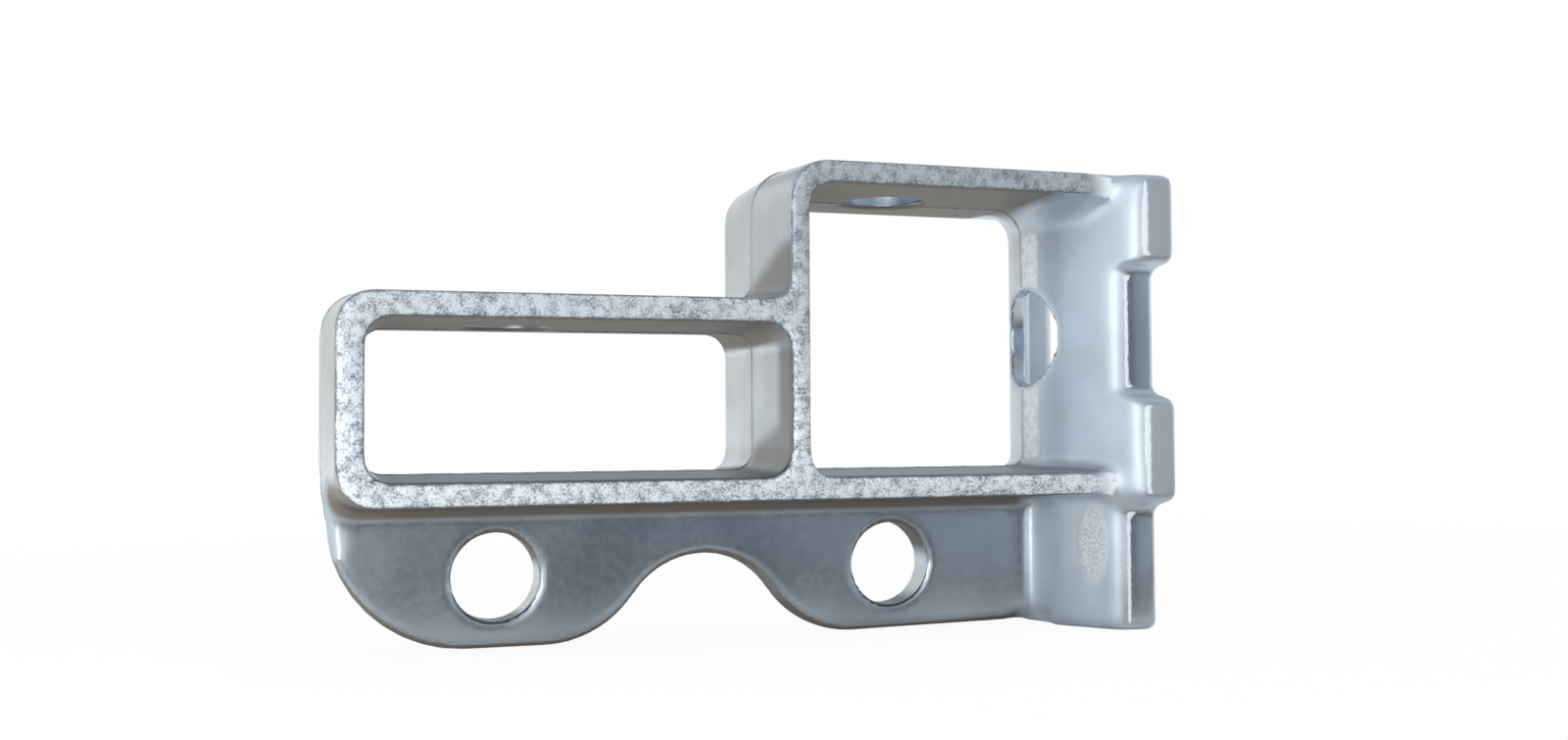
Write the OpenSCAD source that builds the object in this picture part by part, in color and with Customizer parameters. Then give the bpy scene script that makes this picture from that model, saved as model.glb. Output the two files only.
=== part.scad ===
// Pole bracket: one casting, a two-cell box frame on a vee-shaped pole seat with a foot flange below.
// The mould parts at y = 0, so every wall is thickest there and tapers to both faces.
// Millimetres. The origin is the pole bolt hole's centre on the pole side of the seat;
// +X points to the pole, +Z up along it, and the arm reaches out along -X.

/* [Box frame] */
// Reach of the arm's outer end from the pole bolt hole, at the frame's faces
arm_reach = 157.4; // [135:0.2:200]
// Depth of the box frame, from front face to rear face
frame_depth = 47; // [38:0.5:56]
// Height of the frame's tall cell at the pole, over its walls
tall_height = 70; // [62:0.5:90]
// Height of the low cell on the arm, over its walls
low_height = 41.1; // [34:0.5:50]
// Width of the tall cell's top and bottom walls, from the seat to the shared wall's far side
tall_width = 67.75; // [56:0.25:80]
// Thickness of the bottom wall at the frame's faces
bottom_wall = 4.8; // [3.5:0.1:7]
// Thickness of the low cell's top wall at the frame's faces
low_top_wall = 5; // [3.5:0.1:7]
// Thickness of the tall cell's top wall at the frame's faces
tall_top_wall = 4.8; // [3.5:0.1:7]
// Thickness of the arm's end wall at the frame's faces
end_wall = 5.5; // [4:0.1:7.5]
// Thickness of the wall between the two cells at the frame's faces
shared_wall = 4.25; // [3:0.05:7]
// Inside corner radius of both cells
cell_radius = 5; // [3:0.1:8]
// Outside corner radius at the top of the arm's end
end_top_radius = 7; // [3:0.1:10]
// Outside corner radius at the bottom of the arm's end
end_bottom_radius = 6.5; // [3:0.1:9]
// Outside corner radius of the tall cell
tall_radius = 8.5; // [4:0.1:12]
// Radius of the hollow where the low cell's roof meets the tall cell
step_radius = 4; // [2:0.1:7]

/* [Casting] */
// Draft angle of the walls, from the parting plane to each face
draft = 2.4; // [0.5:0.1:3.5]
// Radius on the frame's rims
rim_radius = 1; // [0.5:0.1:1.5]
// Radius of the fillets where the bottom wall meets the seat and the flange
root_radius = 3; // [1.5:0.1:4]
// Radius of the fillet where the tall cell's top wall meets the seat
top_root_radius = 6.5; // [2:0.1:8]

/* [Pole seat] */
// Thickness of the seat between its borders
seat_wall = 3.5; // [2.5:0.1:5]
// Angle of each wing of the vee, from the plane across the arm
wing_angle = 32.5; // [20:0.5:36]
// Radius of the vee's inner face at its apex
apex_radius = 24.5; // [14:0.1:28]
// Depth of the seat over its tabs, from front end to rear end
seat_depth = 57.6; // [56:0.1:70]
// How far the seat's level foot reaches below the pole bolt hole
seat_foot = 64.6; // [58:0.2:80]
// Radius from the inner face round to the border's end
border_radius = 7; // [3:0.1:8]
// Height of the pad along each border that bears on the pole
pad_height = 5.1; // [2:0.1:5.6]
// Width of that pad along the wing
pad_width = 8; // [5:0.1:10]
// Angle at which the seat's top falls off past the frame's faces
tab_fall = 8; // [0:0.5:15]
// Radius on the seat's top and bottom edges
seat_edge = 1.6; // [0.5:0.1:2]
// Radius of the fillets where the frame's rims meet the seat's wings
rim_root_radius = 5; // [1:0.1:7]
// Depth of the strap recesses along the wing
strap_depth = 5.1; // [3:0.1:6.5]
// Radius of the rounded steps into the strap recesses
strap_radius = 2.4; // [1.2:0.1:3]
// Height of the upper tab, from the frame's top down to the middle of the first step
upper_tab = 20.2; // [16:0.1:26]
// Height of the upper strap recess
upper_strap = 28.6; // [22:0.1:32]
// Height of the lower tab, between the two recesses
lower_tab = 23.2; // [16:0.1:28]

/* [Foot flange] */
// Thickness of the foot flange
flange_wall = 7.5; // [5:0.1:10]
// How far the flange's lobes reach below the pole bolt hole
flange_foot = 64.2; // [58:0.1:78]
// The same reach where the flange meets the seat
seat_end_foot = 63.4; // [56:0.1:78]
// Radius of the outer lobe under the arm's end
end_lobe_radius = 27; // [22:0.1:28]
// Radius where the outer lobe turns up into the arch
outer_lobe_radius = 22.5; // [16:0.1:26]
// Distance of that turn's centre from the pole bolt hole
outer_lobe_reach = 114.3; // [106:0.1:122]
// Radius of the arch between the lobes
arch_radius = 18.7; // [14:0.1:22]
// Height of the arch's crown above the lobes' feet
arch_height = 17.8; // [12:0.1:22]
// Radius where the arch turns down into the inner lobe
inner_lobe_radius = 21; // [16:0.1:24]
// Radius on the flange's edges
flange_edge = 1; // [0.4:0.1:2]
// Radius of the upright fillets between the flange and the seat
flange_root_radius = 3.2; // [1.5:0.1:5]

/* [Holes] */
// Diameter of the pole bolt hole
pole_hole = 22; // [14:0.5:24]
// Diameter of the two holes in the flange
flange_hole = 18; // [12:0.5:20]
// Diameter of the holes in the cells' top walls
roof_hole = 18; // [12:0.5:20]
// Height of the flange holes below the pole bolt hole
flange_hole_drop = 50; // [47:0.5:54]
// Distance of the outer flange hole from the pole bolt hole
outer_hole_reach = 124.5; // [116:0.5:134]
// Distance of the inner flange hole from the pole bolt hole
inner_hole_reach = 38.2; // [28:0.5:48]
// Distance of the low cell's roof hole from the pole bolt hole
low_roof_reach = 121.7; // [100:0.5:134]
// Distance of the tall cell's roof hole from the pole bolt hole
tall_roof_reach = 38; // [26:0.5:44]

/* [Hidden] */

// Steps in a rounded corner, in a rim's rounding and in the vee's apex
corner_steps = 6;
rim_steps = 3;
apex_steps = 8;
fillet_steps = 7;
border_steps = 6;
pad_steps = 4;
lobe_steps = 10;
bore_facets = 96;
// Least radius left on a rounded corner
least_radius = 0.2;
// How far a hidden end is carried into the metal that it joins, and a cut past the metal
bury = 1;
// How far a fillet starts inside the faces that it blends, so that they cross and don't just touch
blend = 0.06;
clear = 2;
// Directions in the plane of the flange, as angles from +X
up = 90;
outward = 180;
down = 270;

half_depth = frame_depth / 2;
frame_top = tall_height / 2;
frame_bottom = -tall_height / 2;
low_top = frame_bottom + low_height;
seat_half = seat_depth / 2;
seat_top = frame_top + half_depth * tan(draft);
seat_bottom = -seat_foot;

// Plan of the vee: a round apex, then two straight wings
apex_centre = apex_radius - seat_wall;
wing_run = [sin(wing_angle), -cos(wing_angle)];
wing_out = [cos(wing_angle), sin(wing_angle)];

// How far a face stands out from its place at the frame's faces, at depth y
function taper(y) = (half_depth - abs(y)) * tan(draft);

// Distance that a rounded edge falls back, at s from the start of a rounding of radius r
function fall(s, r) = r - sqrt(max(0, r * r - s * s));

// Depth levels from the front to the rear of a wall of half depth h with edges rounded to r
function front_levels(h, r) = [for (i = [rim_steps:-1:0]) -(h - r + r * sin(up * i / rim_steps))];
function levels(h, r, inner) = concat(
    front_levels(h, r),
    [for (y = inner) -y],
    [0],
    [for (i = [len(inner) - 1:-1:0]) inner[i]],
    [for (i = [rim_steps:-1:0]) -front_levels(h, r)[i]]
);
function edge_fall(y, h, r) = fall(max(0, abs(y) - (h - r)), r);

// Inner face of the seat at depth y, as a distance along X
function seat_face(y) =
    abs(y) < apex_radius * sin(wing_angle)
        ? apex_centre - sqrt(apex_radius * apex_radius - y * y)
        : apex_centre - apex_radius * cos(wing_angle)
            + (abs(y) - apex_radius * sin(wing_angle)) * tan(wing_angle);

// Unit vector from a to b, and a vector turned a quarter to the left
function along(a, b) = (b - a) / norm(b - a);
function left_of(u) = [-u[1], u[0]];
function turned(v, a) = [v[0] * cos(a) - v[1] * sin(a), v[0] * sin(a) + v[1] * cos(a)];

// One corner of an outline that runs anticlockwise, moved outwards by d and rounded
function round_corner(before, corner, after, r, d) =
    let (u = along(before, corner))
    let (v = along(corner, after))
    let (bend = atan2(u[0] * v[1] - u[1] * v[0], u * v))
    let (moved = corner - d * (left_of(u) + left_of(v)) / (1 + u * v))
    let (radius = max(least_radius, r + d * sign(bend)))
    let (start = moved - u * radius * tan(abs(bend) / 2))
    let (centre = start + left_of(u) * radius * sign(bend))
    [for (i = [0:corner_steps]) centre + turned(start - centre, bend * i / corner_steps)];

// A whole rounded outline from corners given as [x, z, radius]
function outline(corners, d) =
    let (n = len(corners))
    let (p = [for (c = corners) [c[0], c[1]]])
    [for (i = [0:n - 1]) each round_corner(p[(i + n - 1) % n], p[i], p[(i + 1) % n], corners[i][2], d)];

function box_corners(x0, x1, z0, z1, r) = [[x0, z0, r[0]], [x1, z0, r[1]], [x1, z1, r[2]], [x0, z1, r[3]]];

// Faces of a stack of m rings of n points each, closed by strips between a ring's two halves
function strip(n, at, flip) = [
    for (i = [0:n / 2 - 2])
        flip
            ? [at + n - 1 - i, at + n - 2 - i, at + i + 1, at + i]
            : [at + i, at + i + 1, at + n - 2 - i, at + n - 1 - i]
];
function sides(n, m, flip) = [
    for (k = [0:m - 2], i = [0:n - 1])
        let (a = k * n + i)
        let (b = k * n + (i + 1) % n)
        flip ? [a, a + n, b + n, b] : [a, b, b + n, a + n]
];

// Solid through rings of [x, z] points, one ring for each depth y, front to rear
module loft_in_depth(depths, rings) {
    n = len(rings[0]);
    m = len(rings);
    polyhedron(
        points = [for (k = [0:m - 1]) for (p = rings[k]) [p[0], depths[k], p[1]]],
        faces = concat(strip(n, 0, true), sides(n, m, false), strip(n, (m - 1) * n, false)),
        convexity = 6
    );
}

// Bar with a hollow quarter-round face, through places given as [y, x, z, radius].
// x and z are the corner that it fills; to_x and to_z say on which side of it the room lies.
module fillet_bar(places, to_x, to_z) {
    n = corner_steps + 4;
    m = len(places);
    anticlockwise = to_x * to_z > 0;
    points = [
        for (c = places)
            let (centre = [c[1] + to_x * (c[3] - blend), c[2] + to_z * (c[3] - blend)])
            let (deep = [c[1] - to_x * bury, c[2] - to_z * bury])
            let (hollow = [
                for (i = [0:corner_steps])
                    let (a = up * i / corner_steps)
                    centre - c[3] * [to_x * sin(a), to_z * cos(a)]
            ])
            each [
                [deep[0], c[0], deep[1]],
                [centre[0], c[0], deep[1]],
                for (p = hollow) [p[0], c[0], p[1]],
                [deep[0], c[0], centre[1]]
            ]
    ];
    ring = [for (i = [0:n - 1]) i];
    back = [for (i = [n - 1:-1:0]) (i + 1) % n];
    polyhedron(
        points = points,
        faces = concat(
            [anticlockwise ? back : ring],
            sides(n, m, !anticlockwise),
            [[for (i = anticlockwise ? ring : back) (m - 1) * n + i]]
        ),
        convexity = 4
    );
}

// Outer solid of the low cell, before it is opened
module low_block() {
    depths = levels(half_depth, rim_radius, []);
    corners = box_corners(
        -arm_reach, -tall_width + shared_wall, frame_bottom, low_top,
        [end_bottom_radius, 0, 0, end_top_radius]
    );
    loft_in_depth(depths, [
        for (y = depths)
            outline(corners, taper(y) - edge_fall(y, half_depth, rim_radius))
    ]);
}

// Outer solid of the tall cell, which ends in the middle of the seat's wall
module tall_block() {
    round_apex = [apex_radius * sin(wing_angle), apex_radius * sin(wing_angle / 2)];
    depths = levels(half_depth, rim_radius, round_apex);
    loft_in_depth(depths, [
        for (y = depths)
            outline(
                box_corners(
                    -tall_width, seat_face(y) + seat_wall / 2 - taper(y) / 2, frame_bottom, frame_top,
                    [0, 0, 0, tall_radius]
                ),
                taper(y) - edge_fall(y, half_depth, rim_radius)
            )
    ]);
}

// Thickening along the bottom wall that blends it into the flange
module flange_root() {
    reach = flange_wall / 2 + root_radius;
    depths = [
        for (i = [-corner_steps:corner_steps])
            sign(i) * (flange_wall / 2 + root_radius * (1 - cos(up * abs(i) / corner_steps)))
    ];
    swell = function(y) root_radius - sqrt(max(0, pow(root_radius, 2) - pow(reach - abs(y), 2)));
    loft_in_depth(depths, [
        for (y = depths)
            outline(
                box_corners(
                    -arm_reach - taper(y) + blend, seat_face(0) + bury,
                    frame_bottom - taper(y) + blend - swell(max(abs(y), flange_wall / 2)),
                    frame_bottom + 2 * end_bottom_radius,
                    [end_bottom_radius, 0, 0, 0]
                ),
                0
            )
    ]);
}

// Room inside a cell: narrowest at the parting plane, flared at both rims
module cell_room(x0, x1, z0, z1) {
    inner = levels(half_depth, rim_radius, []);
    depths = concat([-half_depth - clear], inner, [half_depth + clear]);
    loft_in_depth(depths, [
        for (y = depths)
            outline(
                box_corners(x0, x1, z0, z1, [cell_radius, cell_radius, cell_radius, cell_radius]),
                edge_fall(y, half_depth, rim_radius) - max(0, taper(y))
            )
    ]);
}

module low_room() {
    cell_room(-arm_reach + end_wall, -tall_width, frame_bottom + bottom_wall, low_top - low_top_wall);
}

// The tall cell's room runs on past the seat, which then closes it
module tall_room() {
    cell_room(
        -tall_width + shared_wall, seat_face(half_depth) + tall_radius,
        frame_bottom + bottom_wall, frame_top - tall_top_wall
    );
}

// Points on an arc from one angle to another
function arc(centre, radius, from, to) = [
    for (i = [0:lobe_steps])
        let (a = from + (to - from) * i / lobe_steps)
        centre + radius * [cos(a), sin(a)]
];

// Lower outline of the foot flange moved out by d: each arc runs on into the next
function flange_outline(d) =
    let (end_centre = [end_lobe_radius - arm_reach, end_lobe_radius - flange_foot])
    let (outer_centre = [-outer_lobe_reach, outer_lobe_radius - flange_foot])
    let (arch_z = arch_height - arch_radius - flange_foot)
    let (inner_z = inner_lobe_radius - flange_foot)
    let (outer_span = outer_lobe_radius + arch_radius)
    let (inner_span = inner_lobe_radius + arch_radius)
    let (outer_turn = acos((outer_centre[1] - arch_z) / outer_span))
    let (inner_turn = acos((inner_z - arch_z) / inner_span))
    let (arch_centre = [outer_centre[0] + outer_span * sin(outer_turn), arch_z])
    let (inner_centre = [arch_centre[0] + inner_span * sin(inner_turn), inner_z])
    concat(
        arc(end_centre, end_lobe_radius + d, outward, down),
        arc(outer_centre, outer_lobe_radius + d, down, down + outer_turn),
        arc(arch_centre, arch_radius - d, up + outer_turn, up - inner_turn),
        arc(inner_centre, inner_lobe_radius + d, down - inner_turn, down),
        [[seat_face(0) + bury, -seat_end_foot - d]]
    );

// Foot flange: the outline joined to a level line inside the frame's bottom wall
module foot_flange() {
    half = flange_wall / 2;
    depths = levels(half, flange_edge, []);
    loft_in_depth(depths, [
        for (y = depths)
            let (low = flange_outline((half - abs(y)) * tan(draft) - edge_fall(y, half, flange_edge)))
            concat(low, [for (i = [len(low) - 1:-1:0]) [low[i][0], frame_bottom + 2 * end_bottom_radius]])
    ]);
}

// Hollow corner where the low cell's roof meets the tall cell
module step_fillet() {
    fillet_bar(
        [
            for (y = levels(half_depth, rim_radius, []))
                let (out = taper(y) - edge_fall(y, half_depth, rim_radius))
                [y, -tall_width - out, low_top + out, step_radius]
        ],
        -1, 1
    );
}

// Fillets where the tall cell's top and bottom walls meet the seat, with rounded ends at the rims.
// Their places follow the seat's round apex and then its straight wings.
module wall_fillets() {
    reach = half_depth - rim_radius;
    round_end = apex_radius * sin(wing_angle);
    half = concat(
        [for (i = [1:apex_steps]) apex_radius * sin(wing_angle * i / apex_steps)],
        [for (i = [1:fillet_steps]) round_end + (reach - round_end) * sin(up * i / fillet_steps)]
    );
    depths = concat([for (i = [len(half) - 1:-1:0]) -half[i]], [0], half);
    size = function(y, r)
        max(least_radius, sqrt(max(0, r * r - pow(max(0, abs(y) - (reach - r)), 2))));
    top = frame_top - tall_top_wall;
    floor = frame_bottom + bottom_wall;
    fillet_bar([for (y = depths) [y, seat_face(y), top - taper(y), size(y, top_root_radius)]], -1, -1);
    fillet_bar([for (y = depths) [y, seat_face(y), floor + taper(y), size(y, root_radius)]], -1, 1);
}

// Fillets between the front and rear rims of the tall cell's walls and the seat's wings.
// They take up the rims' rounding, and at the top the rounding of the seat's edge.
module rim_fillets() {
    turn = up - wing_angle;
    reach = rim_root_radius * tan(turn / 2);
    // Each wall is [its lower side, its thickness, whether it follows the seat's falling top]
    for (wall = [[frame_bottom, bottom_wall, 0], [frame_top - tall_top_wall, tall_top_wall, 1]]) {
        half = wall[1] / 2;
        sag = function(y) wall[2] * (blend + max(0, top_drop(abs(y)) - top_drop(half_depth)));
        rings = [
            for (rise = levels(half, rim_radius, []))
                let (z = wall[0] + half + rise)
                let (y = half_depth - edge_fall(rise, half, rim_radius))
                let (sunk = fall(max(0, z - frame_top + seat_edge), seat_edge))
                let (corner = [seat_face(y) + sunk / cos(wing_angle), -y])
                let (centre = corner - [reach, rim_root_radius])
                let (hollow = [
                    for (i = [0:corner_steps])
                        let (a = turn * i / corner_steps)
                        centre + (rim_root_radius + blend) * [sin(a), cos(a)]
                ])
                // A ring starts at the point that sees all its others, because its end is fanned from there
                let (deep = corner + bury * wing_out)
                let (ring = concat(
                    [deep + [0, bury], corner + [-reach, bury]], hollow, [deep + reach * wing_run]
                ))
                [for (p = ring) [p[0], p[1], z - sag(p[1])]]
        ];
        n = len(rings[0]);
        m = len(rings);
        for (side = [0, 1])
            mirror([0, side, 0])
                polyhedron(
                    points = [for (ring = rings) each ring],
                    faces = concat(
                        [[for (i = [0:n - 1]) i]],
                        sides(n, m, true),
                        [[for (i = [n:-1:1]) (m - 1) * n + i % n]]
                    ),
                    convexity = 4
                );
    }
}

// Upright fillets between the flange's faces and the round apex of the seat, tangent to both
module flange_fillets() {
    r = flange_root_radius;
    side_y = flange_wall / 2 + r;
    span = apex_radius + r;
    lean = asin(side_y / span);
    centre = [apex_centre - span * cos(lean), side_y];
    for (side = [0, 1])
        mirror([0, side, 0])
            translate([0, 0, -seat_end_foot + flange_edge])
                linear_extrude(seat_end_foot + frame_bottom)
                    polygon(concat(
                        [[centre[0] + r, flange_wall / 2 - bury], [centre[0], flange_wall / 2 - bury]],
                        [
                            for (i = [0:corner_steps])
                                let (a = i / corner_steps * (up - lean))
                                centre + (r + blend) * [sin(a), -cos(a)]
                        ]
                    ));
}

// Half of the seat's inner side, from the border's end to beside the apex.
// s draws the border back along the wing; d sinks the surface into the metal.
function inner_half(s, d) =
    let (r = apex_radius - d)
    let (turn = up - wing_angle)
    let (wing = [apex_centre, 0] - r * wing_out)
    let (end_y = -(seat_half - s * cos(wing_angle) - d))
    let (corner = wing + wing_run * (wing[1] - end_y) / cos(wing_angle))
    let (edge = border_radius - d)
    let (centre = corner - wing_run * edge * tan(turn / 2) + wing_out * edge)
    concat(
        [for (i = [border_steps:-1:0]) centre - edge * turned(wing_out, turn * i / border_steps)],
        [
            for (i = [0:apex_steps - 1])
                [apex_centre, 0] - r * turned(wing_out, -wing_angle * i / apex_steps)
        ]
    );

// Half of the side that bears on the pole: border end, pad, step down, wing, apex arc
function pole_half(s, d) =
    let (r = apex_radius - seat_wall + d)
    let (wing = [apex_centre, 0] - r * wing_out)
    let (pad = wing + wing_out * pad_height)
    let (end_y = inner_half(s, d)[0][1])
    let (corner = pad + wing_run * (pad[1] - end_y) / cos(wing_angle))
    let (edge = max(least_radius, seat_edge - d))
    let (turn = up + wing_angle)
    let (centre = corner + edge * [-tan(turn / 2), 1])
    let (pad_end = corner - wing_run * pad_width)
    concat(
        [for (i = [0:pad_steps]) centre + edge * turned([0, -1], turn * i / pad_steps)],
        [pad_end, pad_end - wing_run * pad_height - wing_out * pad_height],
        [
            for (i = [0:apex_steps - 1])
                [apex_centre, 0] - r * turned(wing_out, -wing_angle * i / apex_steps)
        ]
    );

// A half side, the point at the apex, and the half's mirror image
function whole_side(half, apex) =
    concat(half, [apex], [for (i = [len(half) - 1:-1:0]) [half[i][0], -half[i][1]]]);

// How far the seat's top falls from the parting plane to depth y
function top_drop(y) = min(y, half_depth) * tan(draft) + max(0, y - half_depth) * tan(tab_fall);

// Heights and draw-back of the border through one rounded step centred at z.
// It goes from a recess below to a tab above when rising is true.
function step_levels(z, rising) =
    let (bend = 80)
    let (curve = [for (i = [0:rim_steps]) bend * i / rim_steps])
    let (flank = (strap_depth - 2 * strap_radius * (1 - cos(bend))) / tan(bend))
    let (half = strap_radius * sin(bend) + flank / 2)
    let (path = concat(
        [for (a = curve) [strap_radius * sin(a) - half, strap_depth - strap_radius * (1 - cos(a))]],
        [
            for (i = [rim_steps:-1:0])
                [half - strap_radius * sin(curve[i]), strap_radius * (1 - cos(curve[i]))]
        ]
    ))
    rising
        ? [for (p = path) [z + p[0], p[1], 0, 0]]
        : [for (i = [len(path) - 1:-1:0]) [z - path[i][0], path[i][1], 0, 0]];

// Pole seat: the vee's plan carried up through the tabs and strap recesses
module pole_seat() {
    first_step = frame_top - upper_tab;
    second_step = first_step - upper_strap;
    third_step = second_step - lower_tab;
    round_angles = [for (i = [0:rim_steps]) up * i / rim_steps];
    // Each level is [height, draw-back, sink, share of the top's fall with depth]
    stack = concat(
        [
            for (a = round_angles)
                [seat_bottom + seat_edge * (1 - cos(a)), strap_depth, seat_edge * (1 - sin(a)), 0]
        ],
        step_levels(third_step, true),
        step_levels(second_step, false),
        step_levels(first_step, true),
        [
            for (i = [rim_steps:-1:0])
                let (a = round_angles[i])
                [seat_top - seat_edge * (1 - cos(a)), 0, seat_edge * (1 - sin(a)), 1]
        ]
    );
    rings = [
        for (level = stack)
            let (s = level[1])
            let (d = level[2])
            let (pole = whole_side(pole_half(s, d), [-d, 0]))
            let (inner = whole_side(inner_half(s, d), [d - seat_wall, 0]))
            [
                for (p = concat(pole, [for (i = [len(inner) - 1:-1:0]) inner[i]]))
                    [p[0], p[1], level[0] - level[3] * top_drop(abs(p[1]))]
            ]
    ];
    n = len(rings[0]);
    m = len(rings);
    polyhedron(
        points = [for (ring = rings) each ring],
        faces = concat(strip(n, 0, false), sides(n, m, true), strip(n, (m - 1) * n, true)),
        convexity = 8
    );
}

module pole_bore() {
    rotate([0, 90, 0])
        cylinder(d = pole_hole, h = 2 * apex_radius, center = true, $fn = bore_facets);
}

module flange_bores() {
    for (reach = [outer_hole_reach, inner_hole_reach])
        translate([-reach, 0, -flange_hole_drop])
            rotate([90, 0, 0])
                cylinder(d = flange_hole, h = flange_wall + 2 * clear, center = true, $fn = bore_facets);
}

// A hole down through one roof, given its reach, the roof's top and its thickness
module roof_bore(reach, top, wall) {
    spare = taper(0) + clear;
    translate([-reach, 0, top - wall - spare])
        cylinder(d = roof_hole, h = wall + 2 * spare, $fn = bore_facets);
}

module bracket_casting() {
    color([0.66, 0.69, 0.72])
        difference() {
            union() {
                difference() {
                    union() {
                        low_block();
                        tall_block();
                        flange_root();
                        foot_flange();
                    }
                    low_room();
                    tall_room();
                }
                pole_seat();
                step_fillet();
                wall_fillets();
                rim_fillets();
                flange_fillets();
            }
            pole_bore();
            flange_bores();
            roof_bore(low_roof_reach, low_top, low_top_wall);
            roof_bore(tall_roof_reach, frame_top, tall_top_wall);
        }
}

bracket_casting();
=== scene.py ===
"""Looks of the pole bracket: one bare aluminium casting on a pale floor, in the CAD model's frame.

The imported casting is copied, given an even fine skin, and softened and worked as a moulder's
pattern and the fettling shop leave the real one. Every length is in millimetres until it is
handed to Blender, which works in metres. The lamps alone are placed in metres.
"""

from __future__ import annotations

import logging
import math
from dataclasses import dataclass, field
from enum import Enum

import bmesh
import bpy
import numpy as np
from mathutils import Matrix, Vector


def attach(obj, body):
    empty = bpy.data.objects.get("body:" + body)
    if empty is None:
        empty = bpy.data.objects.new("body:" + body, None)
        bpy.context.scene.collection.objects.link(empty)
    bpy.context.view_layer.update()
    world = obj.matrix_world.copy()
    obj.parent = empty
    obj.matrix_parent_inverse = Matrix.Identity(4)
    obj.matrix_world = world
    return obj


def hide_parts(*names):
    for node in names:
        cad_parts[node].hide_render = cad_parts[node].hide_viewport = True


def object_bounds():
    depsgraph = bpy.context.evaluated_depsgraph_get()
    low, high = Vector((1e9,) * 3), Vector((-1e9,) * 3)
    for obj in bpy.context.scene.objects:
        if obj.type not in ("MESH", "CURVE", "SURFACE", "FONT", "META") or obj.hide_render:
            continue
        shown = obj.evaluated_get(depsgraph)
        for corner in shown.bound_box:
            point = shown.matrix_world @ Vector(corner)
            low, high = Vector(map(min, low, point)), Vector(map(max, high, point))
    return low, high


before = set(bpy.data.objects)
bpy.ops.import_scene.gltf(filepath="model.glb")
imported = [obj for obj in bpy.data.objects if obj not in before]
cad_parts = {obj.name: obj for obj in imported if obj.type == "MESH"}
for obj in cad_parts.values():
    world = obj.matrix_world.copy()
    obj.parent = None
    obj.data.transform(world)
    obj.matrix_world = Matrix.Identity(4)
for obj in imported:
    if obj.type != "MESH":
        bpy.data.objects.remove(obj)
cad_box = [list(corner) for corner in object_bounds()]

log = logging.getLogger("pole_bracket")
MM = 0.001
BODY = "root"
NODE = "bracket_casting"

Socket = bpy.types.NodeSocket
Tree = bpy.types.NodeTree
Triple = tuple[float, float, float]
Band = tuple[float, float]
Window = tuple[float, float, float, float]
Change = tuple[float, float, float, float]


class Axis(Enum):
    """The axis that a hole runs along."""

    X = 0
    Y = 1
    Z = 2


class Kind(Enum):
    """The kinds of shader node that the finishes and the room are made of.

    Each is the node's type, the inputs that its values go to in order, the output that is read from
    it, and the node's settings.
    """

    PLACE = ("ShaderNodeTexCoord", (), "Object", {})
    DIRECTION = ("ShaderNodeTexCoord", (), "Generated", {})
    NORMAL = ("ShaderNodeNewGeometry", (), "Normal", {})
    RAYS = ("ShaderNodeLightPath", (), 0, {})
    MASK = ("ShaderNodeAttribute", (), "Fac", {})
    PARTS = ("ShaderNodeSeparateXYZ", (0,), 0, {})
    JOINED = ("ShaderNodeCombineXYZ", (0, 1, 2), 0, {})
    VECTOR_LESS = ("ShaderNodeVectorMath", (0, 1), 0, {"operation": "SUBTRACT"})
    VECTOR_TIMES = ("ShaderNodeVectorMath", (0, 1), 0, {"operation": "MULTIPLY"})
    LENGTH = ("ShaderNodeVectorMath", (0,), "Value", {"operation": "LENGTH"})
    ALONG = ("ShaderNodeVectorMath", (0, 1), "Value", {"operation": "DOT_PRODUCT"})
    SIZE = ("ShaderNodeMath", (0,), 0, {"operation": "ABSOLUTE"})
    LESS = ("ShaderNodeMath", (0, 1), 0, {"operation": "SUBTRACT"})
    TIMES = ("ShaderNodeMath", (0, 1), 0, {"operation": "MULTIPLY"})
    TIMES_PLUS = ("ShaderNodeMath", (0, 1, 2), 0, {"operation": "MULTIPLY_ADD"})
    LARGER = ("ShaderNodeMath", (0, 1), 0, {"operation": "MAXIMUM"})
    RAMP = ("ShaderNodeMapRange", (0, 1, 2, 3, 4), 0, {"interpolation_type": "SMOOTHSTEP"})
    MIXED = ("ShaderNodeMix", (0, 2, 3), 0, {"data_type": "FLOAT"})
    MIXED_COLOUR = ("ShaderNodeMix", (0, 6, 7), 2, {"data_type": "RGBA"})
    NOISE = ("ShaderNodeTexNoise", ("Vector", "Scale", "Detail", "Roughness"), 0, {})
    RELIEF = ("ShaderNodeBump", ("Height", "Distance", "Strength", "Normal"), 0, {})
    METAL = (
        "ShaderNodeBsdfPrincipled",
        ("Base Color", "Metallic", "Roughness", "Normal", "Specular IOR Level"),
        0,
        {},
    )
    PAPER = ("ShaderNodeBsdfDiffuse", (0,), 0, {})
    WHITE_LIGHT = ("ShaderNodeEmission", ("Strength",), 0, {})
    MIXED_SHADER = ("ShaderNodeMixShader", (0, 1, 2), 0, {})
    SKY = ("ShaderNodeBackground", ("Color", "Strength"), 0, {})
    MATERIAL_END = ("ShaderNodeOutputMaterial", (0,), None, {})
    WORLD_END = ("ShaderNodeOutputWorld", (0,), None, {})

    def __init__(
        self,
        type_name: str,
        inputs: tuple[int | str, ...],
        output: int | str | None,
        settings: dict[str, str],
    ) -> None:
        """Names the parts of the kind's value.

        Args:
            type_name: the node's type.
            inputs: the names or numbers of the inputs that its values go to, in order.
            output: the name or number of the output that is read, or None where a tree ends.
            settings: the node's own settings.
        """
        self.type_name = type_name
        self.inputs = inputs
        self.output = output
        self.settings = settings


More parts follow.
